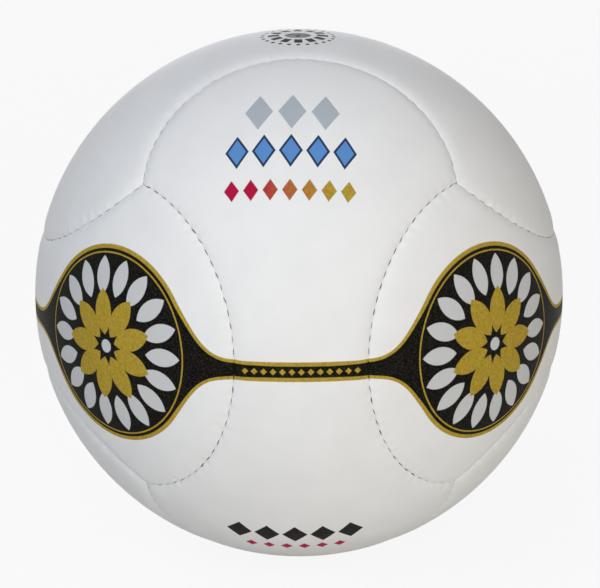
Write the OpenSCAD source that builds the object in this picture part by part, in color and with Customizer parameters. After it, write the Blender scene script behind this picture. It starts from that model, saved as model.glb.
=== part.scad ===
// Fistball: six alike stitched panels with linings, a bladder and a valve with a replaceable insert.
// The origin is the ball's centre, +Z points up along the valve, and the front panel faces -Y.

/* [Ball] */
// Outer diameter of the inflated ball
ball_d = 212; // [204:1:218]
// Half the angle that a panel spans across its waist
waist_angle = 14.1; // [13:0.1:16]

/* [Cover panels] */
// Thickness of the cover and of its turned-in edges
cover_t = 1.5; // [1.2:0.1:1.8]
// Gap between two neighbouring panels at a seam
seam_gap = 0.3; // [0.2:0.05:0.5]
// Depth of the valley along a seam
valley_depth = 1.4; // [0.8:0.1:1.5]
// Width over which a panel's edge rounds down into the valley
valley_w = 2.6; // [1.8:0.1:3.2]

/* [Stitching] */
// Stitches along one seam
stitches = 34; // [24:1:40]
// Thickness of the waxed thread where it runs along a seam
thread_d = 0.8; // [0.6:0.05:0.9]
// Thickness of the thread where it is pulled through a hole
pulled_thread_d = 0.6; // [0.4:0.05:0.6]
// Diameter of a stitch hole
stitch_hole_d = 0.84; // [0.8:0.02:1]
// Depth of the stitches under the ball's surface
stitch_depth = 2.4; // [2.2:0.05:2.5]
// Distance from a corner of the ball to the nearest stitch
corner_clear = 6; // [5:0.5:8]

/* [Inner layers] */
// Thickness of the lining behind a panel
lining_t = 1.6; // [1.4:0.1:2]
// Thickness of the bladder's wall
bladder_t = 0.8; // [0.6:0.1:1.2]
// Slack between two neighbouring layers
slack = 0.12; // [0.1:0.01:0.2]

/* [Valve] */
// Outer diameter of the valve's neck
neck_d = 10; // [9:0.5:12]
// Depth of the valve's top under the ball's surface
valve_sink = 0.5; // [0.3:0.1:0.8]
// Diameter of the flange that is bonded inside the bladder
flange_d = 30; // [24:1:36]
// Thickness of the bonded flange
flange_t = 1.6; // [1.2:0.1:2]
// Length of the valve, from its top to its inner end
valve_len = 20; // [18:1:24]
// Diameter of the insert's shaft
insert_d = 5; // [4.6:0.1:5.6]
// Radial clearance between the insert and the neck's bore
insert_clear = 0.05; // [0.03:0.01:0.08]
// Diameter of the insert's head
head_d = 7; // [6.5:0.1:7.5]
// Thickness of the insert's head
head_t = 1.2; // [1:0.1:1.5]
// Diameter of the channel for the pump's needle
needle_d = 2; // [1.8:0.1:2.4]
// Length of the needle's channel
needle_len = 15; // [12:0.5:16]

/* [Hidden] */
$fn = 96;
ball_r = ball_d / 2;
thread_r = thread_d / 2;
lining_r = ball_r - cover_t - slack;
wall_inner_r = lining_r - lining_t;
bladder_r = wall_inner_r - slack;
bladder_inner_r = bladder_r - bladder_t;

// Straight steps in which a seam is drawn, and steps in which an edge rounds down
seam_steps = 16;
valley_steps = 3;

// Height at which a rounded edge leaves the surface, and the far point that closes a panel's cutter
edge_rise = 0.03;
far = 6 * ball_r;

// A seam is an arc of a small circle through two corners of a cube and one waist point.
// The circle's centre lies seam_lon degrees round from the waisted panel's centre.
corner = 1 / sqrt(3);
seam_lon = atan2(cos(waist_angle) - corner, corner - sin(waist_angle));
seam_angle = seam_lon - waist_angle;
seam_circle_r = ball_r * sin(seam_angle);
seam_half_arc = asin(corner / sin(seam_angle));
stitch_half_arc = seam_half_arc - degrees_along(corner_clear, seam_circle_r);

// The front panel's left waist and top bulge: the seam circle's centre, and the way to the seam's middle
waist_centre = [-sin(seam_lon), -cos(seam_lon), 0];
waist_middle = [cos(seam_lon), -sin(seam_lon), 0];
bulge_centre = [0, -sin(seam_lon), cos(seam_lon)];
bulge_middle = [0, cos(seam_lon), sin(seam_lon)];

// Distances from a seam's middle, along the surface
edge_offset = seam_gap / 2;
flange_offset = edge_offset + cover_t;
thread_offset = flange_offset + thread_r + 2 * slack;
lining_offset = thread_offset + thread_r + 2 * slack;

valve_top = ball_r - valve_sink;
valve_bottom = valve_top - valve_len;
neck_hole_r = neck_d / 2 + slack;
insert_r = insert_d / 2;
insert_bore_r = insert_r + insert_clear;
insert_bottom = valve_bottom + 1;
head_seat_r = head_d / 2 + slack;
head_seat_depth = head_t + slack;

// A panel's name, its half turn, its turn about a corner, and the panels at its two waisted edges
PANELS = [
    ["front", 0, 0, "left", "right"],
    ["back", 180, 0, "right", "left"],
    ["bottom", 0, 120, "front", "back"],
    ["top", 180, 120, "back", "front"],
    ["left", 0, 240, "bottom", "top"],
    ["right", 180, 240, "top", "bottom"]
];

// Degrees that a length takes up along a circle
function degrees_along(length, radius) = length / radius * 180 / PI;

// Direction at a turn round a seam circle, given the circle's angle, its centre and the seam's middle
function round_seam(angle, turn, centre, middle) =
    cos(angle) * centre + sin(angle) * (cos(turn) * middle + sin(turn) * cross(centre, middle));

// Corner of the front panel at an offset in from its edges: where a waist's circle meets a bulge's
function panel_corner(offset) =
    let (
        step = degrees_along(offset, ball_r),
        p = cos(seam_angle + step),
        q = cos(seam_angle - step),
        g = waist_centre * bulge_centre,
        a = (p - g * q) / (1 - g * g),
        b = (q - g * p) / (1 - g * g),
        c = sqrt((1 - a * a - b * b - 2 * a * b * g) / (1 - g * g))
    )
    a * waist_centre + b * bulge_centre + c * cross(waist_centre, bulge_centre);

// Turn of a direction round a seam circle, counted from the seam's middle
function turn_of(direction, centre, middle) = atan2(direction * cross(centre, middle), direction * middle);

// Directions up the left waist and along the top bulge of the front panel, at an offset in from its edges
function half_outline(offset) =
    let (
        step = degrees_along(offset, ball_r),
        meet = panel_corner(offset),
        waist_turn = turn_of(meet, waist_centre, waist_middle),
        bulge_turn = turn_of(meet, bulge_centre, bulge_middle)
    )
    concat(
        [for (i = [0:seam_steps - 1])
            round_seam(seam_angle + step, waist_turn * (2 * i / seam_steps - 1), waist_centre, waist_middle)],
        [for (i = [0:seam_steps - 1])
            round_seam(seam_angle - step, bulge_turn * (1 - 2 * i / seam_steps), bulge_centre, bulge_middle)]
    );

// Closed ring round the front panel, at an offset in from its edges and at a radius
function panel_ring(offset, radius) =
    let (half = half_outline(offset))
    [for (d = concat(half, [for (h = half) [-h[0], h[1], -h[2]]])) radius * d];

// Rings of an edge that rounds down a quarter ellipse into the valley
function rounded_rings() = [for (i = [0:valley_steps])
    let (
        a = 90 * i / valley_steps,
        rise = i == valley_steps ? edge_rise : 0
    )
    panel_ring(edge_offset + valley_w * (1 - cos(a)), ball_r - valley_depth * (1 - sin(a)) + rise)];

// Turns a shape at the front to one of the six sides
module facing(panel) {
    rotate(a = panel[2], v = [1, 1, 1])
        rotate([0, 0, panel[1]])
            children();
}

// Turns +Z to the centre of the seam circle at a waisted edge, with +X towards the seam's middle
module at_waist(turned) {
    rotate([0, turned ? 180 : 0, 0])
        rotate([0, 0, -seam_lon])
            rotate([90, 0, 0])
                children();
}

// Turns +Z to the centre of the seam circle at a bulging end, with +X towards the seam's middle
module at_bulge(turned) {
    rotate([0, turned ? 180 : 0, 0])
        rotate([seam_lon, 0, 0])
            rotate([0, 0, 90])
                children();
}

// Solid cone from the ball's centre through rings round a panel, closed at a far point
module panel_cone(rings) {
    count = len(rings[0]);
    last = len(rings) - 1;
    tip = 1 + count * (last + 1);
    polyhedron(
        points = concat([[0, 0, 0]], [for (ring = rings) each ring], [[0, -far, 0]]),
        faces = concat(
            [for (i = [0:count - 1]) [1 + (i + 1) % count, 1 + i, 0]],
            [for (j = [0:1:last - 1], i = [0:count - 1])
                let (low = 1 + j * count, high = low + count, next = (i + 1) % count)
                each [[low + i, low + next, high + next], [low + i, high + next, high + i]]],
            [for (i = [0:count - 1]) [1 + last * count + i, 1 + last * count + (i + 1) % count, tip]]
        )
    );
}

// Places something at each stitch of a seam, with +X across the seam
module at_stitches() {
    for (i = [0:stitches - 1])
        rotate([0, 0, stitch_half_arc * (2 * i / (stitches - 1) - 1)])
            rotate([0, seam_angle, 0])
                translate([0, 0, ball_r - stitch_depth])
                    children();
}

// Short rod across a seam
module rod_across(d, half_length) {
    rotate([0, 90, 0])
        cylinder(d = d, h = 2 * half_length, center = true, $fn = 16);
}

// Panel at the front: a shallow pan with its edges turned in and pierced for the stitches
module cover_panel() {
    color("whitesmoke")
        difference() {
            intersection() {
                sphere(ball_r);
                panel_cone(rounded_rings());
            }
            sphere(wall_inner_r);
            intersection() {
                sphere(ball_r - cover_t);
                panel_cone([panel_ring(flange_offset, ball_r)]);
            }
            for (turned = [false, true]) {
                at_waist(turned) at_stitches() rod_across(stitch_hole_d, thread_offset);
                at_bulge(turned) at_stitches() rod_across(stitch_hole_d, thread_offset);
            }
        }
}

// Fabric layer behind the front panel, clear of the stitching
module lining() {
    color("gainsboro")
        difference() {
            intersection() {
                sphere(lining_r);
                panel_cone([panel_ring(lining_offset, ball_r)]);
            }
            sphere(wall_inner_r);
        }
}

// Thread of one seam: a strand along each side and a strand through each pair of holes
module seam_thread() {
    strand_half_arc = stitch_half_arc + degrees_along(thread_d, seam_circle_r);
    color("lightgrey") {
        for (side = [-1, 1]) {
            strand_angle = seam_angle + side * degrees_along(thread_offset, ball_r);
            rotate([0, 0, -strand_half_arc])
                rotate_extrude(angle = 2 * strand_half_arc)
                    translate((ball_r - stitch_depth) * [sin(strand_angle), cos(strand_angle)])
                        circle(thread_r, $fn = 24);
        }
        at_stitches() rod_across(pulled_thread_d, thread_offset);
    }
}

// Opening through a layer for the valve's neck
module neck_hole() {
    cylinder(r = neck_hole_r, h = 2 * ball_r);
}

// Bladder: a thin sphere with an opening for the valve's neck
module bladder() {
    color("saddlebrown")
        difference() {
            sphere(bladder_r);
            sphere(bladder_inner_r);
            neck_hole();
        }
}

// Valve housing: a neck with a stepped bore and a curved flange bonded inside the bladder
module valve_housing() {
    color("dimgrey")
        difference() {
            union() {
                translate([0, 0, valve_bottom])
                    cylinder(d = neck_d, h = valve_len);
                difference() {
                    intersection() {
                        sphere(bladder_inner_r - slack);
                        cylinder(d = flange_d, h = 2 * ball_r);
                    }
                    sphere(bladder_inner_r - slack - flange_t);
                }
            }
            translate([0, 0, valve_bottom - 1])
                cylinder(r = insert_bore_r, h = valve_len + 2);
            translate([0, 0, valve_top - head_seat_depth])
                cylinder(r = head_seat_r, h = head_seat_depth + 1);
        }
}

// Valve insert: a soft plug with a blind channel for the pump's needle
module valve_insert() {
    color("black")
        difference() {
            union() {
                translate([0, 0, insert_bottom])
                    cylinder(r = insert_r, h = valve_top - insert_bottom - head_t / 2);
                translate([0, 0, valve_top - head_t])
                    cylinder(d = head_d, h = head_t);
            }
            translate([0, 0, valve_top - needle_len])
                cylinder(d = needle_d, h = needle_len + 1);
        }
}

for (p = PANELS) {
    is_top = p[0] == "top";
    difference() {
            facing(p) cover_panel();
            if (is_top) neck_hole();
        }
    difference() {
            facing(p) lining();
            if (is_top) neck_hole();
        }
    facing(p) at_waist(false) seam_thread();
    facing(p) at_waist(true) seam_thread();
}
bladder();
valve_housing();
valve_insert();
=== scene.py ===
import math

import bpy
import numpy as np
from mathutils import Matrix, Vector


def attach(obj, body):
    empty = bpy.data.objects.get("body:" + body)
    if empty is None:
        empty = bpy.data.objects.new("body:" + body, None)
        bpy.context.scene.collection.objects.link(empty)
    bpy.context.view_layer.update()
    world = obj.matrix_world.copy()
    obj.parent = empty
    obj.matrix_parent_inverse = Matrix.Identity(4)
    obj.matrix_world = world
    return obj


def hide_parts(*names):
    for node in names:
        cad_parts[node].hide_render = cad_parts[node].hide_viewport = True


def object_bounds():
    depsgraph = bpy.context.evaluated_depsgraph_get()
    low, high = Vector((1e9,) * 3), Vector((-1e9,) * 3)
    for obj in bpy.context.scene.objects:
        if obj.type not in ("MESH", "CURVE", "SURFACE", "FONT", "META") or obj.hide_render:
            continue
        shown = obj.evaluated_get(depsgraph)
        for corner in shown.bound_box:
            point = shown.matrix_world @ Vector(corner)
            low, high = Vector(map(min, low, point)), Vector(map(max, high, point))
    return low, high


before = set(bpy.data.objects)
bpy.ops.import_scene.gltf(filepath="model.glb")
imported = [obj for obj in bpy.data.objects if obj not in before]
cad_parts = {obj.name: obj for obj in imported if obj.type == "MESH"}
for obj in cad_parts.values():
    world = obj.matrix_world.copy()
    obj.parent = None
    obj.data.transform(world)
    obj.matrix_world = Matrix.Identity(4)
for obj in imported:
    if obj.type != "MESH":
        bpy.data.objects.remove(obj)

# The ball's centre is the origin, +Z points up along the valve, and the front panel faces -Y.
CAD_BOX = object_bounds()
MM = 0.001
BALL_R = (CAD_BOX[1][0] - CAD_BOX[0][0]) / 2
RANDOM_SEED = 20

# Camera: place round the ball in degrees, distance in ball radii, and the photograph's frame in pixels
IMAGE_W, IMAGE_H = 600, 588
CAMERA_AZIMUTH, CAMERA_ELEVATION, CAMERA_ROLL = -0.43, 15.6, -0.21
CAMERA_DISTANCE = 16.0
CAMERA_REACH = 20.0
FOCAL_PX = 4212.0
BALL_CENTRE_PX = (299.0, 292.5)
SENSOR_MM = 36.0

# Seams: each is an arc of a small circle through two cube corners and a panel's waist
WAIST_ANGLE = math.radians(14.1)
CORNER = 1 / math.sqrt(3)
SEAM_LON = math.atan2(math.cos(WAIST_ANGLE) - CORNER, CORNER - math.sin(WAIST_ANGLE))
SEAM_ANGLE = SEAM_LON - WAIST_ANGLE
SEAM_HALF_ARC = math.asin(CORNER / math.sin(SEAM_ANGLE))
STITCHES = 34
CORNER_CLEAR = 6 * MM
STITCH_HALF_ARC = SEAM_HALF_ARC - CORNER_CLEAR / (BALL_R * math.sin(SEAM_ANGLE))
STITCH_PITCH = 2 * STITCH_HALF_ARC * BALL_R * math.sin(SEAM_ANGLE) / (STITCHES - 1)
EAST, OUT, UP = np.array([1, 0, 0]), np.array([0, -1, 0]), np.array([0, 0, 1])
WAIST_CENTRE = np.array([-math.sin(SEAM_LON), -math.cos(SEAM_LON), 0])
WAIST_MIDDLE = np.array([math.cos(SEAM_LON), -math.sin(SEAM_LON), 0])
BULGE_CENTRE = np.array([0, -math.sin(SEAM_LON), math.cos(SEAM_LON)])
BULGE_MIDDLE = np.array([0, math.cos(SEAM_LON), math.sin(SEAM_LON)])

# A panel's name, its half turn and its turn about a corner, in degrees
PANELS = {
    "front": (0, 0),
    "back": (180, 0),
    "bottom": (0, 120),
    "top": (180, 120),
    "left": (0, 240),
    "right": (180, 240),
}

# Section of a panel at a seam: cover, turned-in edge, slit, valley, rolled lip and pucker at a stitch
COVER_T = 1.5 * MM
EDGE_DEPTH = 3.1 * MM
EDGE_ROUNDING = 0.4 * MM
CLOSED_GAP = 0.01 * MM
OPEN_GAP = 0.18 * MM
OPEN_SINE = 0.66
SLIT_SPREAD = 0.8 * MM
VALLEY_DEPTH, VALLEY_W = 0.9 * MM, 8.0 * MM
LIP_DEPTH, LIP_W = 0.5 * MM, 0.55 * MM
SHUT_LIP = 0.15
PUCKER_DEPTH, PUCKER_W = 0.4 * MM, 2.2 * MM
CORNER_GAP, CORNER_PIT_W = 0.12 * MM, 1.1 * MM
CORNER_SINK, CORNER_SINK_W = 0.3 * MM, 5.0 * MM

# Least and most that a stitch may have, as shares: width and slant of its slit, and pull on the skin
SLIT_WIDTHS = (0.45, 1.1)
SLIT_SLANTS = (-0.06, 0.2)
STITCH_PULLS = (0.4, 1.4)

# Points along one edge of a panel, and rings by offset from the seam, some with only every nth point
EDGE_POINTS = 408
SKIN_OFFSETS = [o * MM for o in (0, 0.08, 0.2, 0.38, 0.62, 0.95, 1.4, 2.0, 2.8, 3.8, 5.0)]
WIDE_OFFSETS = [(6.6 * MM, 2), (8.6 * MM, 2), (11.0 * MM, 2), (14.0 * MM, 4)]
BACK_OFFSETS = [(5.0 * MM, 2), (8.0 * MM, 4), (12.0 * MM, 4)]
SHARP_ANGLE = math.radians(50)

# Rings down the slit's wall: depth under the lip or under the ball's surface, and share of the opening
LIP_WALL = [(0.1 * MM, 1), (0.5 * MM, 0.8)]
STITCH_DEPTH, STITCH_OPEN = 2.4 * MM, 0.3

# The valve's hole in the top panel, the part of the grid that it takes up, and rings that crowd towards it
NECK_HOLE_R = 5.12 * MM
HOLE_ROUNDING = 0.4 * MM
HOLE_HALF_ROWS, HOLE_HALF_COLUMNS = 5, 30
HOLE_RINGS = 12
HOLE_CROWDING = 1.6

# Name under which a panel's mesh carries 1 on its raw edge and back, and 0 on the coated skin; the grey
# laid there is partly painted shade in the slit
RAW_EDGE = "raw_edge"

# Colours of leather and inks, in sRGB from 0 to 255
# Grey of the raw edge: partly its own colour, partly painted shade that darkens the slit between panels
RAW_GREY_AND_SLIT_SHADE = (112, 109, 103)
LEATHER_DULL = (231, 231, 230)
LEATHER_BRIGHT = (240, 240, 239)
INK_BLACK = (12, 11, 8)
# Grey flecks in the black ink are painted glints: the shine of the leather grain laid in as colour
INK_GLINT_GREY = (44, 43, 39)
INK_GOLD = (164, 137, 46)
# Lighter gold of painted sheen flecks: the ink's metallic shine laid in as colour
INK_GOLD_SHEEN = (184, 157, 60)
INK_GREY = (202, 203, 203)
INK_SLATE = (176, 184, 190)
INK_NAVY = (42, 60, 92)
INK_BLUE = (92, 142, 202)
INK_CRIMSON = (176, 22, 62)

# Soft edge of a print, how ragged it is, the size of flecks that make black ink ragged and put painted
# glints in it, and the size of painted sheen flecks in gold ink
INK_EDGE = 0.22 * MM
INK_RAGGED = 0.12 * MM
BLACK_RAGGED_AND_GLINT = 0.5 * MM
GOLD_SHEEN_FLECK = 1 * MM

# Stripe round the ball's middle, and the share of its gold lines' width that is lost near a flare
STRIPE_DROP = 1.8 * MM
STRIPE_HALF_H = 3.9 * MM
STRIPE_BLEND = 12 * MM
GOLD_LINE = 1.65 * MM
LINE_THINNING, THINNED_LENGTH = 0.35, 20 * MM

# Roundels on the stripe, and the turn from the stripe at which a flare's straight sides leave them
ROUNDEL_R = 39.7 * MM
FLARE_TURN = math.radians(37.5)
THIN_RING_R, THIN_RING_HALF_W = 36.5 * MM, 0.3 * MM
ROSETTE_EYE_R = 2.6 * MM

# Rings of petals: count, inner and outer radius, and half the width of a petal
OUTER_PETALS = (18, 20 * MM, 35.2 * MM, 3.6 * MM)
INNER_PETALS = (9, 4.5 * MM, 22.5 * MM, 4.4 * MM)

# Centres of printed patches, in degrees to the right of the front and above the ball's middle
STRIPE_PATCH = (0, 0)
UPPER_PATCH = (-2.7, 47.5)
LOWER_PATCH = (-2, -50)

# Rows of rhombi: height above the patch's centre, count, pitch, half width and half height
STRIPE_ROW = (-STRIPE_DROP, 13, 3.6 * MM, 1.3 * MM, 1.3 * MM)
SLATE_ROW = (17 * MM, 3, 13 * MM, 5.5 * MM, 9 * MM)
BLUE_ROW = (-2 * MM, 5, 10.4 * MM, 4.6 * MM, 7.5 * MM)
WARM_ROW = (-19 * MM, 7, 7.6 * MM, 3 * MM, 4.5 * MM)
BLACK_ROW = (4 * MM, 5, 11 * MM, 5 * MM, 7 * MM)
CRIMSON_ROW = (-9 * MM, 6, 7 * MM, 2.4 * MM, 3.2 * MM)
BLUE_OUTLINE = 0.9 * MM
WARM_MIDDLE, WARM_BLEND = 2 * MM, 30 * MM

# Rings of bars and dots round the valve
BARS, BARS_R, BAR_HALF_L, BAR_HALF_W = 12, 9.8 * MM, 2.2 * MM, 1.6 * MM
DOTS, DOTS_R, DOT_R = 24, 14.2 * MM, 0.8 * MM

# Colours of the pieces inside the cover, and the pitch of the lining's yarns
CLOTH_SHADE, CLOTH_LIGHT, CLOTH_GLUE = (214, 206, 190), (236, 230, 218), (200, 190, 172)
YARN_PITCH = 0.9 * MM
THREAD_LIGHT, THREAD_SHADE = (222, 218, 206), (190, 184, 170)
LATEX_DARK, LATEX_LIGHT, LATEX_POWDER = (168, 118, 70), (192, 146, 96), (206, 178, 142)
HOUSING_DARK, HOUSING_LIGHT = (20, 20, 21), (38, 38, 39)
INSERT_DARK, INSERT_LIGHT = (30, 30, 32), (52, 52, 54)

# Floor, its share of plain white to the eye, and the strength of the even light from all round
FLOOR_COLOUR = (229, 227, 224)
FLOOR_SIZE = 8.0
FLOOR_GLOW = 0.9
AMBIENT = 0.2

# Square lamps that face the ball: direction, side in metres, watts and colour
LAMP_DISTANCE = 2.0
LAMPS = {
    "key": ((0, -1, 0.28), 1.2, 12.6, (229, 238, 255)),
    "right": ((0.5, -1, 0.06), 0.3, 9.4, (255, 241, 208)),
    "top": ((0, -0.2, 1), 1.2, 6.4, (242, 242, 255)),
    "upper_left": ((-0.8, -0.6, 1), 1.2, 10.6, (243, 249, 255)),
    "back": ((0, 1, 0.12), 1.0, 8.0, (255, 255, 255)),
}


def unit(v):
    """Vectors of the same direction with a length of 1."""
    return v / np.linalg.norm(v, axis=-1, keepdims=True)


def turn_matrix(side):
    """Rotation from the front panel to another side."""
    half_turn, corner_turn = (math.radians(a) for a in PANELS[side])
    about_corner = Matrix.Rotation(corner_turn, 3, Vector((1, 1, 1)))
    return np.array(about_corner @ Matrix.Rotation(half_turn, 3, "Z"))


def neighbour(side, direction):
    """The panel that lies next to a side, in a direction given for the front panel."""
    towards = turn_matrix(side) @ direction
    return max(PANELS, key=lambda other: towards @ turn_matrix(other) @ OUT)


def panel_corner(offset):
    """Direction of the front panel's upper left corner, at an offset in from its edges."""
    p = math.cos(SEAM_ANGLE + offset / BALL_R)
    q = math.cos(SEAM_ANGLE - offset / BALL_R)
    g = WAIST_CENTRE @ BULGE_CENTRE
    a = (p - g * q) / (1 - g * g)
    b = (q - g * p) / (1 - g * g)
    c = math.sqrt((1 - a * a - b * b - 2 * a * b * g) / (1 - g * g))
    return a * WAIST_CENTRE + b * BULGE_CENTRE + c * np.cross(WAIST_CENTRE, BULGE_CENTRE)


def round_seam(offset, turn, centre, middle, sign):
    """Directions along a seam circle, moved into the panel by an offset."""
    angle = (SEAM_ANGLE + sign * offset / BALL_R) * np.ones_like(turn)
    out = np.outer(np.cos(turn), middle) + np.outer(np.sin(turn), np.cross(centre, middle))
    return np.cos(angle)[:, None] * centre + np.sin(angle)[:, None] * out


def edge_turns(offset, count):
    """Turns along the left waist and then the top bulge, from corner to corner."""
    corner = panel_corner(offset)
    waist_end = math.atan2(corner[2], corner @ WAIST_MIDDLE)
    bulge_end = math.atan2(-corner[0], corner @ BULGE_MIDDLE)
    steps = np.arange(count) / count * 2 - 1
    return waist_end * steps, -bulge_end * steps


def ring(offset, count, draw_back):
    """Directions round the front panel, with each edge drawn back from its seam by an extra distance."""
    waist_turn, bulge_turn = edge_turns(offset, count)
    parts = []
    for side in (0, 1):
        waist = round_seam(offset + draw_back[2 * side], waist_turn, WAIST_CENTRE, WAIST_MIDDLE, 1)
        bulge = round_seam(offset + draw_back[2 * side + 1], bulge_turn, BULGE_CENTRE, BULGE_MIDDLE, -1)
        turned = np.array([1, 1, 1]) if side == 0 else np.array([-1, 1, -1])
        parts += [waist * turned, bulge * turned]
    return np.concatenate(parts)


def stitch_phase(turn):
    """Place along a seam, counted in stitches: whole at a stitch, a half between two."""
    return (turn / STITCH_HALF_ARC + 1) / 2 * (STITCHES - 1)


def dash(phase):
    """1 in the middle between two stitches, 0 near a stitch."""
    return np.clip((np.abs(np.sin(math.pi * phase)) - OPEN_SINE) / (1 - OPEN_SINE), 0, 1)


def from_corner(turn):
    """Distance along a seam from its nearer end."""
    return (SEAM_HALF_ARC - np.abs(turn)) * BALL_R * math.sin(SEAM_ANGLE)


def roll(offset):
    """Section of a rolled edge: 1 at the seam, falling in a quarter round to 0."""
    lip = 1 - min(offset / LIP_W, 1)
    return 1 - math.sqrt(1 - lip * lip)


def valley(offset):
    """Depth of the soft valley along a seam, at an offset from it."""
    return VALLEY_DEPTH * (1 - min(offset / VALLEY_W, 1)) ** 3


class Seam:
    """How one seam varies from stitch to stitch, counted along the panel whose waist it is."""

    def __init__(self, draws):
        self.widths = draws.uniform(*SLIT_WIDTHS, STITCHES + 1)
        self.slants = draws.uniform(*SLIT_SLANTS, STITCHES + 1)
        self.pulls = draws.uniform(*STITCH_PULLS, STITCHES + 2)

    def slit_edge(self, turn, on_waist):
        """Distance of a panel's edge from the seam's line: the slit opens between stitches, at a slant."""
        phase = stitch_phase(turn)
        inside = (phase > -1) & (phase < STITCHES)
        index = np.clip(np.floor(phase).astype(int) + 1, 0, STITCHES)
        half_gap = OPEN_GAP * self.widths[index] * np.sqrt(dash(phase))
        slant = self.slants[index] * STITCH_PITCH / (2 * math.pi) * np.sin(2 * math.pi * phase)
        return np.where(inside, half_gap + (slant if on_waist else -slant), 0)

    def pucker(self, turn):
        """Share of the full pucker depth: deep at a stitch, none between two."""
        phase = stitch_phase(turn)
        index = np.clip(np.round(phase).astype(int) + 1, 0, STITCHES + 1)
        return self.pulls[index] * np.cos(math.pi * phase) ** 2


def lip_share(turn):
    """Share of the rolled lip's full depth: all where the slit is open, a little where it is shut."""
    return SHUT_LIP + (1 - SHUT_LIP) * dash(stitch_phase(turn))


class PanelEdges:
    """The seams round a panel, in its ring's order: left waist, top bulge, right waist, bottom bulge."""

    def __init__(self, side, seams):
        left, top, right, bottom = (neighbour(side, d) for d in (-EAST, UP, EAST, -UP))
        self.seams = [seams[side, left], seams[top, side], seams[side, right], seams[bottom, side]]

    def draw_back(self, offset, count):
        """How far each ring point draws back from its seam: the slit and the pits at the corners."""
        turns = edge_turns(offset, count) * 2
        rows = []
        for number, (seam, turn) in enumerate(zip(self.seams, turns)):
            pit = CORNER_GAP * np.exp(-((from_corner(turn) / CORNER_PIT_W) ** 2))
            rows.append(seam.slit_edge(turn, number % 2 == 0) + pit)
        return np.array(rows)

    def sink(self, offset, count):
        """How far each ring point lies under the plain valley: rolled lip, stitches and corner dimples."""
        turns = edge_turns(offset, count) * 2
        rows = []
        for seam, turn in zip(self.seams, turns):
            dimple = CORNER_SINK * np.exp(-((from_corner(turn) ** 2 + offset ** 2) / CORNER_SINK_W ** 2))
            pull = PUCKER_DEPTH * math.exp(-offset / PUCKER_W) * seam.pucker(turn)
            rows.append(pull + dimple + LIP_DEPTH * roll(offset) * lip_share(turn))
        return np.concatenate(rows)


def flatten(directions):
    """Places of directions on a flat chart of the sphere, with the front panel round its middle."""
    return directions[..., [0, 2]] / (1 - directions[..., 1:2])


def lift(places):
    """Directions of places on the flat chart."""
    square = np.sum(places ** 2, axis=-1, keepdims=True)
    return np.concatenate([2 * places[..., :1], square - 1, 2 * places[..., 1:]], axis=-1) / (1 + square)


def along_chord(arc):
    """Place of each point of an arc along the arc's chord, from 0 to 1."""
    chord = arc[-1] - arc[0]
    return (arc - arc[0]) @ chord / (chord @ chord)


def blended_grid(rim):
    """Directions of a grid that fills a ring, blended from the ring's four edges on the flat chart."""
    n = len(rim) // 4
    flat = flatten(rim)
    left, top = flat[0:n + 1], flat[n:2 * n + 1]
    right = flat[2 * n:3 * n + 1][::-1]
    bottom = np.vstack([flat[3 * n:], flat[:1]])[::-1]
    u = along_chord(bottom)[None, :, None]
    v = along_chord(left)[:, None, None]
    ruled_u = (1 - u) * left[:, None] + u * right[:, None]
    ruled_v = (1 - v) * bottom[None] + v * top[None]
    lower_corners = (1 - u) * (1 - v) * bottom[0] + u * (1 - v) * bottom[-1]
    upper_corners = (1 - u) * v * top[0] + u * v * top[-1]
    return lift(ruled_u + ruled_v - lower_corners - upper_corners)


def rim_index(outer):
    """Grid of point numbers, with those of a ring along its four edges."""
    n = len(outer) // 4
    index = np.zeros((n + 1, n + 1), int)
    index[:, 0] = outer[0:n + 1]
    index[n, :] = outer[n:2 * n + 1]
    index[:, n] = outer[2 * n:3 * n + 1][::-1]
    index[0, 1:n] = outer[3 * n + 1:][::-1]
    return index


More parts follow.
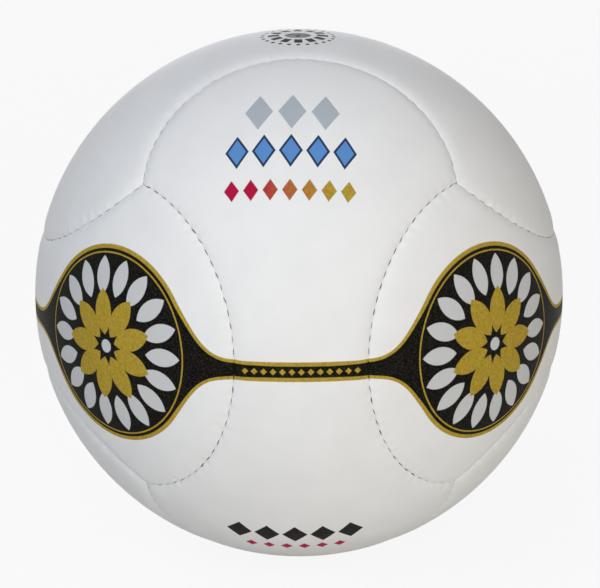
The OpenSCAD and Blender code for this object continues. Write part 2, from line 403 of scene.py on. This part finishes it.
class Builder:
    """Collects points and faces of one panel."""

    def __init__(self):
        self.points = []
        self.raw = []
        self.faces = []
        self.total = 0

    def add(self, points, raw=False):
        """Adds points of the coated skin or of the raw edge and back, and returns their numbers."""
        self.points.append(points)
        self.raw.append(np.full(len(points), float(raw)))
        first, self.total = self.total, self.total + len(points)
        return np.arange(first, self.total)

    def directions(self, numbers):
        """Directions of points that were added before."""
        return unit(np.concatenate(self.points)[numbers])

    def bridge(self, a, b, flip=False):
        """Joins two closed rings with as many points, or the first with twice as many as the second."""
        a_next, b_next = np.roll(a, -1), np.roll(b, -1)
        if len(a) == len(b):
            groups = [(a, b, b_next, a_next)]
        else:
            even, odd, even_next = a[0::2], a[1::2], a_next[1::2]
            groups = [(even, b, odd), (odd, b, b_next), (odd, b_next, even_next)]
        for group in groups:
            faces = np.stack(group, 1)
            self.faces += (faces[:, ::-1] if flip else faces).tolist()

    def bridge_all(self, rings, flip=False):
        """Joins each ring to the next."""
        for a, b in zip(rings, rings[1:]):
            self.bridge(a, b, flip)

    def patch(self, outer, radius, flip, hole):
        """Fills a ring with a grid, and returns the rim of the middle block that a hole leaves out."""
        n = len(outer) // 4
        grid = blended_grid(self.directions(outer)) * radius
        index = rim_index(outer)
        low, high = n // 2 - HOLE_HALF_ROWS, n // 2 + HOLE_HALF_ROWS
        near, far = n // 2 - HOLE_HALF_COLUMNS, n // 2 + HOLE_HALF_COLUMNS
        inside = np.zeros((n + 1, n + 1), bool)
        inside[1:n, 1:n] = True
        kept = np.ones((n, n), bool)
        if hole:
            inside[low + 1:high, near + 1:far] = False
            kept[low:high, near:far] = False
        index[inside] = self.add(grid[inside], raw=flip)
        quads = np.stack([index[:-1, :-1], index[:-1, 1:], index[1:, 1:], index[1:, :-1]], -1)[kept]
        self.faces += (quads[:, ::-1] if flip else quads).tolist()
        up_left, along_top = index[low:high, near], index[high, near:far]
        down_right, along_bottom = index[high:low:-1, far], index[low, far:near:-1]
        return np.concatenate([up_left, along_top, down_right, along_bottom])

    def object(self, name, turn):
        """Makes the mesh, turned to its side of the ball."""
        mesh = bpy.data.meshes.new(name)
        mesh.from_pydata((np.concatenate(self.points) @ turn.T).tolist(), [], self.faces)
        mesh.update()
        mesh.shade_smooth()
        mesh.set_sharp_from_angle(angle=SHARP_ANGLE)
        raw_edge = mesh.attributes.new(RAW_EDGE, "FLOAT", "POINT")
        raw_edge.data.foreach_set("value", np.concatenate(self.raw))
        obj = bpy.data.objects.new(name, mesh)
        bpy.context.scene.collection.objects.link(obj)
        return obj


def skin_ring(build, edges, offset, step=1):
    """Adds a ring of the outer skin, at an offset from the slit."""
    count = EDGE_POINTS // step
    base = CLOSED_GAP + offset
    spread = math.exp(-offset / SLIT_SPREAD)
    directions = ring(base, count, edges.draw_back(base, count) * spread)
    return build.add(directions * (BALL_R - valley(offset) - edges.sink(base, count))[:, None])


def wall_ring(build, edges, offset, depth, open_share=0, step=1):
    """Adds a ring of the slit's wall, the turned-in edge or the inner skin."""
    count = EDGE_POINTS // step
    directions = ring(offset, count, edges.draw_back(offset, count) * open_share)
    return build.add(directions * (BALL_R - depth), raw=True)


def outer_skin(build, edges):
    """Rings of the outer skin, from the slit in towards the panel's middle."""
    rings = [skin_ring(build, edges, offset) for offset in SKIN_OFFSETS]
    rings += [skin_ring(build, edges, offset, step) for offset, step in WIDE_OFFSETS]
    build.bridge_all(rings)
    return rings


def turned_edge(build, edges, slit):
    """Rings from the slit down its wall, round the turned-in edge and along the inner skin."""
    lip_depth = valley(0) + edges.sink(CLOSED_GAP, EDGE_POINTS)[:, None]
    behind = CLOSED_GAP + COVER_T
    rings = [slit]
    rings += [wall_ring(build, edges, CLOSED_GAP, lip_depth + depth, share) for depth, share in LIP_WALL]
    rings += [
        wall_ring(build, edges, CLOSED_GAP, STITCH_DEPTH, STITCH_OPEN),
        wall_ring(build, edges, CLOSED_GAP, EDGE_DEPTH),
        wall_ring(build, edges, behind, EDGE_DEPTH),
        wall_ring(build, edges, behind, COVER_T + EDGE_ROUNDING),
        wall_ring(build, edges, behind + EDGE_ROUNDING, COVER_T),
    ]
    rings += [wall_ring(build, edges, offset, COVER_T, step=step) for offset, step in BACK_OFFSETS]
    build.bridge_all(rings, flip=True)
    return rings


def hole_rings(rim, hole_r, radius, count):
    """Rings from a rim in a panel's middle in to a round hole at its centre."""
    x, y, z = rim.T
    out = unit(np.stack([x, np.zeros_like(x), z], 1))
    hole_angle = hole_r / radius
    rim_angle = np.arccos(np.clip(-y, -1, 1))
    rings = []
    for share in np.linspace(1, 0, count + 1)[1:]:
        angle = hole_angle + (rim_angle - hole_angle) * share ** HOLE_CROWDING
        rings.append((np.sin(angle)[:, None] * out + np.cos(angle)[:, None] * OUT) * radius)
    return rings


def valve_hole(build, top_rim, low_rim):
    """Rings in to the hole for the valve's neck, down through it and out to the inner skin."""
    top, low = build.directions(top_rim), build.directions(low_rim)
    upper = hole_rings(top, NECK_HOLE_R + HOLE_ROUNDING, BALL_R, HOLE_RINGS)
    lip = hole_rings(top, NECK_HOLE_R, BALL_R - HOLE_ROUNDING, 1)
    lower = hole_rings(low, NECK_HOLE_R, BALL_R - COVER_T, HOLE_RINGS)[::-1]
    coated = [build.add(points) for points in upper + lip]
    raw = [build.add(points, raw=True) for points in lower]
    build.bridge_all([top_rim] + coated + raw + [low_rim])


def cover_panel(side, seams):
    """One panel as a closed shell: outer skin, slit wall, turned-in edge and inner skin."""
    edges = PanelEdges(side, seams)
    build = Builder()
    has_hole = side == "top"
    outer = outer_skin(build, edges)
    inner = turned_edge(build, edges, outer[0])
    top_rim = build.patch(outer[-1], BALL_R, False, has_hole)
    low_rim = build.patch(inner[-1], BALL_R - COVER_T, True, has_hole)
    if has_hole:
        valve_hole(build, top_rim, low_rim)
    return build.object("cover_" + side, turn_matrix(side))


def linear(colour):
    """Colour socket value of an sRGB colour from 0 to 255."""
    shares = [c / 255 for c in colour]
    return [s / 12.92 if s <= 0.04045 else ((s + 0.055) / 1.055) ** 2.4 for s in shares] + [1]


class Field:
    """A number that varies over a surface, worked out by Math nodes."""

    def __init__(self, tree, socket):
        self.tree = tree
        self.socket = socket

    def math(self, operation, *others, clamp=False):
        node = self.tree.nodes.new("ShaderNodeMath")
        node.operation = operation
        node.use_clamp = clamp
        for slot, value in zip(node.inputs, (self, *others)):
            if isinstance(value, Field):
                self.tree.links.new(value.socket, slot)
            else:
                slot.default_value = value
        return Field(self.tree, node.outputs[0])

    def __add__(self, other):
        return self.math("ADD", other)

    def __sub__(self, other):
        return self.math("SUBTRACT", other)

    def __mul__(self, other):
        return self.math("MULTIPLY", other)

    def __truediv__(self, other):
        return self.math("DIVIDE", other)

    def __abs__(self):
        return self.math("ABSOLUTE")

    def below(self, limit, softness):
        """1 where the number is under a limit, 0 where it is over it, with a soft step between."""
        return (self - limit).math("MULTIPLY_ADD", -1 / softness, 0.5, clamp=True)


class Paint:
    """A procedural material: fields of the object's own coordinates, and colours laid over each other."""

    def __init__(self, name):
        self.material = bpy.data.materials.new(name)
        self.material.use_nodes = True
        self.tree = self.material.node_tree
        self.shader = self.tree.nodes["Principled BSDF"]
        self.place = self.tree.nodes.new("ShaderNodeTexCoord").outputs["Object"]

    def vector_math(self, operation, a, b=None):
        node = self.tree.nodes.new("ShaderNodeVectorMath")
        node.operation = operation
        self.tree.links.new(a, node.inputs[0])
        if b is not None:
            node.inputs[1].default_value = b
        return node

    def coordinates(self):
        """The object's own coordinates as three fields."""
        node = self.tree.nodes.new("ShaderNodeSeparateXYZ")
        self.tree.links.new(self.place, node.inputs[0])
        return [Field(self.tree, socket) for socket in node.outputs]

    def along(self, direction):
        """Share of the outward direction that points a given way."""
        outward = self.vector_math("NORMALIZE", self.place).outputs["Vector"]
        return Field(self.tree, self.vector_math("DOT_PRODUCT", outward, direction).outputs["Value"])

    def along_axes(self):
        """Shares of the outward direction that point along +X, +Y and +Z."""
        return [self.along(axis) for axis in ((1, 0, 0), (0, 1, 0), (0, 0, 1))]

    def attribute(self, name):
        """A number that the mesh carries at each of its points."""
        node = self.tree.nodes.new("ShaderNodeAttribute")
        node.attribute_name = name
        return Field(self.tree, node.outputs["Fac"])

    def noise(self, size, detail):
        """Noise from about 0.3 to 0.7, with features of a size in metres."""
        node = self.tree.nodes.new("ShaderNodeTexNoise")
        node.inputs["Scale"].default_value = 1 / size
        node.inputs["Detail"].default_value = detail
        self.tree.links.new(self.place, node.inputs["Vector"])
        return Field(self.tree, node.outputs["Fac"])

    def cells(self, size):
        """Distance to the nearest of scattered points, for grain of a size in metres."""
        node = self.tree.nodes.new("ShaderNodeTexVoronoi")
        node.inputs["Scale"].default_value = 1 / size
        self.tree.links.new(self.place, node.inputs["Vector"])
        return Field(self.tree, node.outputs["Distance"])

    def lay(self, under, over, mask):
        """A colour over another where a mask is 1. A colour is a socket or an sRGB triple."""
        node = self.tree.nodes.new("ShaderNodeMix")
        node.data_type = "RGBA"
        self.tree.links.new(mask.socket, node.inputs["Factor"])
        sockets = [s for s in node.inputs if s.type == "RGBA"]
        for slot, colour in zip(sockets, (under, over)):
            if isinstance(colour, tuple):
                slot.default_value = linear(colour)
            else:
                self.tree.links.new(colour, slot)
        return [s for s in node.outputs if s.type == "RGBA"][0]

    def base_colour(self, colour):
        self.tree.links.new(colour, self.shader.inputs["Base Color"])

    def roughness(self, size, detail, base, spread):
        """Roughness that varies from place to place, with features of a size in metres."""
        field = self.noise(size, detail) * spread + base
        self.tree.links.new(field.socket, self.shader.inputs["Roughness"])

    def bump(self, height, distance, strength):
        node = self.tree.nodes.new("ShaderNodeBump")
        node.inputs["Distance"].default_value = distance
        node.inputs["Strength"].default_value = strength
        self.tree.links.new(height.socket, node.inputs["Height"])
        self.tree.links.new(node.outputs["Normal"], self.shader.inputs["Normal"])


class PrintedLeather(Paint):
    """Off-white coated leather on which inks are printed, one over another."""

    def __init__(self, name):
        super().__init__(name)
        self.colour = self.lay(LEATHER_DULL, LEATHER_BRIGHT, self.noise(size=14 * MM, detail=4))
        # Flecks that make ink edges ragged also lay painted grey glints into the black ink
        ragged_and_glint = self.noise(size=BLACK_RAGGED_AND_GLINT, detail=3)
        self.ragged = (ragged_and_glint - 0.5) * INK_RAGGED
        self.black = self.lay(INK_BLACK, INK_GLINT_GREY, ragged_and_glint.below(limit=0.44, softness=0.14))
        # Lighter flecks in the gold ink are painted sheen
        painted_sheen = self.noise(size=GOLD_SHEEN_FLECK, detail=3).below(limit=0.5, softness=0.25)
        self.gold = self.lay(INK_GOLD, INK_GOLD_SHEEN, painted_sheen)

    def ink(self, distance, over):
        """Prints a colour where a distance to an outline is under 0."""
        self.colour = self.lay(self.colour, over, (distance + self.ragged).below(0, INK_EDGE))

    def flat_patch(self, lon, lat):
        """Coordinates on the surface round a centre, to its right and upwards, in metres."""
        lon, lat = math.radians(lon), math.radians(lat)
        out = self.along((math.sin(lon) * math.cos(lat), -math.cos(lon) * math.cos(lat), math.sin(lat)))
        right = self.along((math.cos(lon), math.sin(lon), 0))
        up = self.along((-math.sin(lon) * math.sin(lat), math.cos(lon) * math.sin(lat), math.cos(lat)))
        return right.math("ARCTAN2", out) * BALL_R, up.math("ARCTAN2", out) * BALL_R


def from_centre(share):
    """Distance on the surface from a centre, by the share of the outward direction that points at it."""
    return share.math("MINIMUM", 1).math("ARCCOSINE") * BALL_R


def lens(along, across, half_length, half_width):
    """Distance to the outline of a pointed petal, under 0 inside it."""
    arc_r = (half_length ** 2 + half_width ** 2) / (2 * half_width)
    sideways = abs(across) + (arc_r - half_width)
    return (along * along + sideways * sideways).math("SQRT") - arc_r


def petals(r, turn, count, inner, outer, half_width):
    """Distance to a ring of petals that point away from its centre."""
    fold = turn.math("PINGPONG", math.pi / count)
    out = r * fold.math("COSINE") - (inner + outer) / 2
    return lens(out, r * fold.math("SINE"), (outer - inner) / 2, half_width)


def rhombus_row(u, v, height, count, pitch, half_w, half_h):
    """Distance to a level row of rhombi."""
    place = u / pitch + (count - 1) / 2
    nearest = place.math("ROUND").math("MAXIMUM", 0).math("MINIMUM", count - 1)
    across = abs(place - nearest) * (pitch / half_w)
    up = abs(v - height) / half_h
    return (across + up - 1) * (half_w * half_h / math.hypot(half_w, half_h))


def print_stripe(leather):
    """Black stripe with gold lines that widens into four roundels, each with a rosette of petals."""
    east, north, up = leather.along_axes()
    half = math.sqrt(0.5)
    r = from_centre((abs(east) + abs(north)) * half)
    beside = (abs(east) - abs(north)) * half
    turn = up.math("ARCTAN2", beside)
    # Nearer the stripe than the flare's turn, the outline leaves the circle along its tangent
    into_flare = (abs(up).math("ARCTAN2", abs(beside)) - FLARE_TURN).math("MINIMUM", 0)
    roundel = r * into_flare.math("COSINE") - ROUNDEL_R
    stripe = abs(up.math("ARCSINE") * BALL_R + STRIPE_DROP) - STRIPE_HALF_H
    shape = stripe.math("SMOOTH_MIN", roundel, STRIPE_BLEND)
    near_flare = abs(stripe - roundel).below(THINNED_LENGTH / 2, THINNED_LENGTH)
    line_width = near_flare * (-LINE_THINNING * GOLD_LINE) + GOLD_LINE
    leather.ink(shape, leather.gold)
    leather.ink(shape + line_width, leather.black)
    leather.ink(abs(r - THIN_RING_R) - THIN_RING_HALF_W, leather.gold)
    leather.ink(petals(r, turn, *OUTER_PETALS), INK_GREY)
    leather.ink(petals(r, turn, *INNER_PETALS), leather.gold)
    leather.ink(r - ROSETTE_EYE_R, INK_GREY)
    u, v = leather.flat_patch(*STRIPE_PATCH)
    leather.ink(rhombus_row(u, v, *STRIPE_ROW), leather.gold)


def print_upper_front(leather):
    """Rows of slate, blue and warm rhombi on the upper part of the front panel."""
    u, v = leather.flat_patch(*UPPER_PATCH)
    leather.ink(rhombus_row(u, v, *SLATE_ROW), INK_SLATE)
    blue = rhombus_row(u, v, *BLUE_ROW)
    leather.ink(blue, INK_NAVY)
    leather.ink(blue + BLUE_OUTLINE, INK_BLUE)
    warm = leather.lay(leather.gold, INK_CRIMSON, u.below(WARM_MIDDLE, WARM_BLEND))
    leather.ink(rhombus_row(u, v, *WARM_ROW), warm)


def print_lower_front(leather):
    """Rows of black and crimson rhombi on the lower part of the front panel."""
    u, v = leather.flat_patch(*LOWER_PATCH)
    leather.ink(rhombus_row(u, v, *BLACK_ROW), leather.black)
    leather.ink(rhombus_row(u, v, *CRIMSON_ROW), INK_CRIMSON)


def print_valve_rings(leather):
    """Rings of black bars and dots round the valve."""
    east, north, up = leather.along_axes()
    r = from_centre(up)
    turn = north.math("ARCTAN2", east)
    fold = turn.math("PINGPONG", math.pi / BARS)
    bar = (r * fold.math("SINE") - BAR_HALF_W).math("MAXIMUM", abs(r - BARS_R) - BAR_HALF_L)
    fold = turn.math("PINGPONG", math.pi / DOTS)
    out = r * fold.math("COSINE") - DOTS_R
    across = r * fold.math("SINE")
    dot = (out * out + across * across).math("SQRT") - DOT_R
    leather.ink(bar.math("MINIMUM", dot), leather.black)


def cover_leather():
    """Printed leather with a fine grain, and grey where its raw edge turns in at a seam: partly the raw
    edge's own colour, partly painted shade in the slit.
    """
    leather = PrintedLeather("cover_leather")
    print_stripe(leather)
    print_upper_front(leather)
    print_lower_front(leather)
    print_valve_rings(leather)
    # Raw edge grey, partly painted shade that darkens the slit
    leather.base_colour(leather.lay(leather.colour, RAW_GREY_AND_SLIT_SHADE, leather.attribute(RAW_EDGE)))
    leather.roughness(size=0.9 * MM, detail=3, base=0.42, spread=0.16)
    leather.shader.inputs["Specular IOR Level"].default_value = 0.03
    grain = leather.cells(size=0.55 * MM) + leather.noise(size=0.25 * MM, detail=2) * 0.5
    leather.bump(grain, distance=0.05 * MM, strength=0.35)
    return leather.material


def woven_lining():
    """Layers of cotton and polyester cloth glued together: a plain weave with spots of glue."""
    paint = Paint("woven_lining")
    x, _, z = paint.coordinates()
    yarn = 2 * math.pi / YARN_PITCH
    weave = (x * yarn).math("SINE") * (z * yarn).math("SINE") * 0.5 + 0.5
    glue = paint.noise(size=6 * MM, detail=3).below(limit=0.42, softness=0.2)
    paint.base_colour(paint.lay(paint.lay(CLOTH_SHADE, CLOTH_LIGHT, weave), CLOTH_GLUE, glue))
    paint.shader.inputs["Roughness"].default_value = 0.85
    paint.bump(weave, distance=0.15 * MM, strength=0.6)
    return paint.material


def waxed_thread():
    """Twisted polyester thread with a wax coat."""
    paint = Paint("waxed_thread")
    strand = paint.cells(size=0.35 * MM)
    paint.base_colour(paint.lay(THREAD_LIGHT, THREAD_SHADE, strand))
    paint.roughness(size=1.5 * MM, detail=2, base=0.3, spread=0.3)
    paint.bump(strand, distance=0.08 * MM, strength=0.6)
    return paint.material


def latex_bladder():
    """Tan latex with cloudy colour and a dusting of powder."""
    paint = Paint("latex_bladder")
    latex = paint.lay(LATEX_DARK, LATEX_LIGHT, paint.noise(size=18 * MM, detail=4))
    powder = paint.noise(size=1.2 * MM, detail=3).below(limit=0.42, softness=0.1)
    paint.base_colour(paint.lay(latex, LATEX_POWDER, powder))
    paint.roughness(size=8 * MM, detail=3, base=0.35, spread=0.3)
    paint.bump(paint.noise(size=2 * MM, detail=3), distance=0.1 * MM, strength=0.4)
    return paint.material


def moulded_rubber(name, dark, light):
    """Moulded rubber with a fine matt texture and a grey bloom."""
    paint = Paint(name)
    paint.base_colour(paint.lay(dark, light, paint.noise(size=1.6 * MM, detail=4)))
    paint.roughness(size=0.6 * MM, detail=3, base=0.4, spread=0.3)
    paint.bump(paint.noise(size=0.3 * MM, detail=3), distance=0.04 * MM, strength=0.5)
    return paint.material


def seen_rays(tree):
    """1 for rays from the camera, reflections and glass, 0 for rays that carry light."""
    path = tree.nodes.new("ShaderNodeLightPath")
    seen = Field(tree, path.outputs["Is Camera Ray"])
    for name in ("Is Glossy Ray", "Is Transmission Ray"):
        seen = seen.math("ADD", Field(tree, path.outputs[name]), clamp=True)
    return seen


def studio_floor():
    """Pale floor that is near white to the eye and in reflections, and still takes a shadow."""
    material = bpy.data.materials.new("studio_floor")
    material.use_nodes = True
    tree = material.node_tree
    shader = tree.nodes["Principled BSDF"]
    shader.inputs["Base Color"].default_value = linear(FLOOR_COLOUR)
    shader.inputs["Roughness"].default_value = 0.9
    shader.inputs["Specular IOR Level"].default_value = 0.1
    glow = tree.nodes.new("ShaderNodeEmission")
    mix = tree.nodes.new("ShaderNodeMixShader")
    seen = seen_rays(tree) * FLOOR_GLOW
    tree.links.new(seen.socket, mix.inputs["Fac"])
    tree.links.new(shader.outputs["BSDF"], mix.inputs[1])
    tree.links.new(glow.outputs["Emission"], mix.inputs[2])
    tree.links.new(mix.outputs["Shader"], tree.nodes["Material Output"].inputs["Surface"])
    return material


def lay_floor():
    """Square floor under the ball's lowest point."""
    mesh = bpy.data.meshes.new("floor")
    low, high, height = -FLOOR_SIZE, FLOOR_SIZE, CAD_BOX[0][2]
    corners = [(low, low, height), (high, low, height), (high, high, height), (low, high, height)]
    mesh.from_pydata(corners, [], [(0, 1, 2, 3)])
    mesh.materials.append(studio_floor())
    floor = bpy.data.objects.new("floor", mesh)
    bpy.context.scene.collection.objects.link(floor)


def light_from_all_round():
    """White world that lights the ball faintly and evenly."""
    world = bpy.data.worlds.new("studio")
    bpy.context.scene.world = world
    world.use_nodes = True
    background = world.node_tree.nodes["Background"]
    strength = seen_rays(world.node_tree) * (1 - AMBIENT) + AMBIENT
    world.node_tree.links.new(strength.socket, background.inputs["Strength"])
    background.inputs["Color"].default_value = (1, 1, 1, 1)


def soft_lamp(name, direction, size, watts, colour):
    """Square lamp that faces the ball."""
    data = bpy.data.lights.new(name, "AREA")
    data.size = size
    data.energy = watts
    data.color = linear(colour)[:3]
    lamp = bpy.data.objects.new(name, data)
    away = Vector(direction).normalized()
    facing = away.to_track_quat("Z", "Y").to_matrix().to_4x4()
    lamp.matrix_world = Matrix.Translation(away * LAMP_DISTANCE) @ facing
    bpy.context.scene.collection.objects.link(lamp)


def set_camera():
    """Camera far in front of the ball and above it, framed as in the photograph."""
    data = bpy.data.cameras.new("camera")
    data.sensor_width = SENSOR_MM
    data.lens = FOCAL_PX / IMAGE_W * SENSOR_MM
    data.shift_x = (IMAGE_W / 2 - BALL_CENTRE_PX[0]) / IMAGE_W
    data.shift_y = (BALL_CENTRE_PX[1] - IMAGE_H / 2) / IMAGE_W
    data.clip_end = CAMERA_REACH
    camera = bpy.data.objects.new("camera", data)
    az, el = math.radians(CAMERA_AZIMUTH), math.radians(CAMERA_ELEVATION)
    away = Vector((math.cos(el) * math.sin(az), -math.cos(el) * math.cos(az), math.sin(el)))
    turn = away.to_track_quat("Z", "Y").to_matrix() @ Matrix.Rotation(math.radians(CAMERA_ROLL), 3, "Z")
    camera.matrix_world = Matrix.Translation(away * CAMERA_DISTANCE * BALL_R) @ turn.to_4x4()
    bpy.context.scene.collection.objects.link(camera)
    bpy.context.scene.camera = camera


def make_cover():
    """Six leather panels in place of the CAD panels."""
    draws = np.random.default_rng(RANDOM_SEED)
    waists = [(side, neighbour(side, d)) for side in PANELS for d in (-EAST, EAST)]
    seams = {pair: Seam(draws) for pair in waists}
    leather = cover_leather()
    for side in PANELS:
        panel = cover_panel(side, seams)
        panel.data.materials.append(leather)
        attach(panel, "ball")
        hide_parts("panel_" + side)


def dress_cad_nodes():
    """Materials of the pieces that stay as the CAD made them."""
    looks = {
        "lining": woven_lining(),
        "thread": waxed_thread(),
        "bladder": latex_bladder(),
        "valve_housing": moulded_rubber("valve_rubber", HOUSING_DARK, HOUSING_LIGHT),
        "valve_insert": moulded_rubber("insert_rubber", INSERT_DARK, INSERT_LIGHT),
    }
    for node_name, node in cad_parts.items():
        for start, look in looks.items():
            if node_name.startswith(start):
                node.data.materials.clear()
                node.data.materials.append(look)


make_cover()
dress_cad_nodes()
lay_floor()
light_from_all_round()
for lamp_name, lamp_values in LAMPS.items():
    soft_lamp(lamp_name, *lamp_values)
set_camera()
bpy.context.scene.view_settings.view_transform = "Standard"
